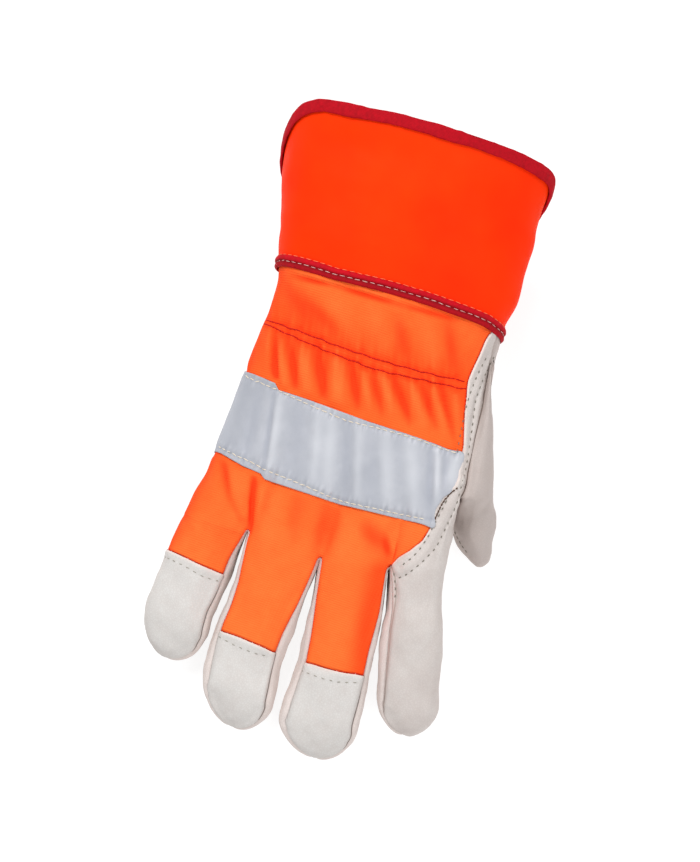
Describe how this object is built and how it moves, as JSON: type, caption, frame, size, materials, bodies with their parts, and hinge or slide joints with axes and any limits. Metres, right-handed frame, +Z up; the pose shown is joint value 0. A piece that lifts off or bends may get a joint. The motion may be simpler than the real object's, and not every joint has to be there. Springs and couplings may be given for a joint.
{
  "type": "rigger glove",
  "caption": "Right-hand work glove lying palm down: fabric back with reflective tape, leather palm and fingertips, and a wide bound cuff.",
  "frame": {"origin": "middle of the glove's underside, on the surface that it lies on", "axes": "+Z up, out of the back of the hand; +Y towards the cuff, with the fingertips at -Y; +X towards the thumb side"},
  "size_m": [0.1408, 0.2614, 0.0641],
  "materials": {
    "back_fabric": "bright orange cotton drill with a fine rib",
    "cuff_fabric": "smooth stiff orange cuff fabric, lightly coated",
    "leather": "pale grey grain leather, matt",
    "binding": "dark red woven binding tape",
    "reflective_tape": "silver grey retroreflective tape, soft sheen"
  },
  "bodies": {
    "root": {"back_panel": "back_fabric", "index_back": "leather", "little_fingertip": "leather", "ring_fingertip": "leather", "middle_fingertip": "leather", "palm": "leather", "fourchette_little_ring": "leather", "fourchette_ring_middle": "leather", "fourchette_middle_index": "leather", "thumb": "leather", "reflective_tape": "reflective_tape", "cuff": "cuff_fabric", "cuff_seam_binding": "binding", "cuff_rim_binding": "binding"}
  },
  "joints": []
}
